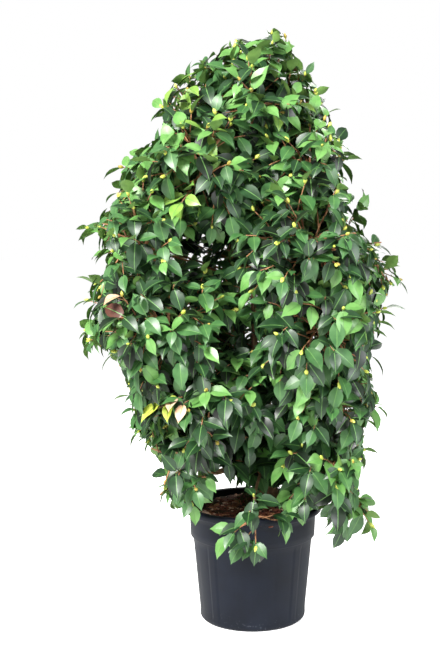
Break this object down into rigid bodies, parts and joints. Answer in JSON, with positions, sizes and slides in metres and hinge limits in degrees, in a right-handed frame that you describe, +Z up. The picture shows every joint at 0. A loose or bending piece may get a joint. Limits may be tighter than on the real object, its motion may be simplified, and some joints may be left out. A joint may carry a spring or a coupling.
{
  "type": "camellia shrub in a nursery pot",
  "caption": "Evergreen camellia shrub with a dense ovoid head of glossy pointed leaves and small pale buds, standing in a round plastic nursery pot.",
  "frame": {"origin": "centre of the pot's flat underside", "axes": "+Z up along the plant, +X to the plant's right as seen from its front, +Y to its back"},
  "size_m": [1.1796, 0.955, 2.0646],
  "materials": {
    "pot": "satin charcoal injection-moulded plastic, dusty towards the foot",
    "soil": "rough red-brown bark mulch over moist substrate",
    "bark": "thin matt grey-brown bark, tan on young wood",
    "foliage": "glossy dark green leaves, paler below",
    "buds": "satin yellow-green bud scales"
  },
  "bodies": {
    "root": {"pot": "pot", "soil": "soil", "trunk": "bark", "stem_1": "bark", "stem_2": "bark", "stem_3": "bark", "stem_4": "bark", "stem_5": "bark", "bough_spray_left": "bark", "bough_spray_right": "bark", "bough_spray_front": "bark", "bough_skirt_1": "bark", "bough_skirt_2": "bark", "bough_skirt_3": "bark", "bough_skirt_4": "bark", "bough_low_1": "bark", "bough_low_2": "bark", "bough_low_3": "bark", "bough_low_4": "bark", "bough_low_5": "bark", "bough_waist_1": "bark", "bough_waist_2": "bark", "bough_waist_3": "bark", "bough_waist_4": "bark", "bough_waist_5": "bark", "bough_waist_6": "bark", "foliage_skirt_1": "foliage", "foliage_skirt_2": "foliage", "foliage_skirt_3": "foliage", "foliage_skirt_4": "foliage", "foliage_low_1": "foliage", "foliage_low_2": "foliage", "foliage_low_3": "foliage", "foliage_low_4": "foliage", "foliage_low_5": "foliage", "foliage_waist_1": "foliage", "foliage_waist_2": "foliage", "foliage_waist_3": "foliage", "foliage_waist_4": "foliage", "foliage_waist_5": "foliage", "foliage_waist_6": "foliage", "foliage_shoulder_1": "foliage", "foliage_shoulder_2": "foliage", "foliage_shoulder_3": "foliage", "foliage_shoulder_4": "foliage", "foliage_shoulder_5": "foliage", "foliage_upper_1": "foliage", "foliage_upper_2": "foliage", "foliage_upper_3": "foliage", "foliage_upper_4": "foliage", "foliage_upper_5": "foliage", "foliage_top_1": "foliage", "foliage_top_2": "foliage", "foliage_top_3": "foliage", "foliage_top_4": "foliage", "leader_left": "foliage", "leader_right": "foliage", "spray_left": "foliage", "spray_right": "foliage", "spray_front": "foliage"}
  },
  "joints": []
}
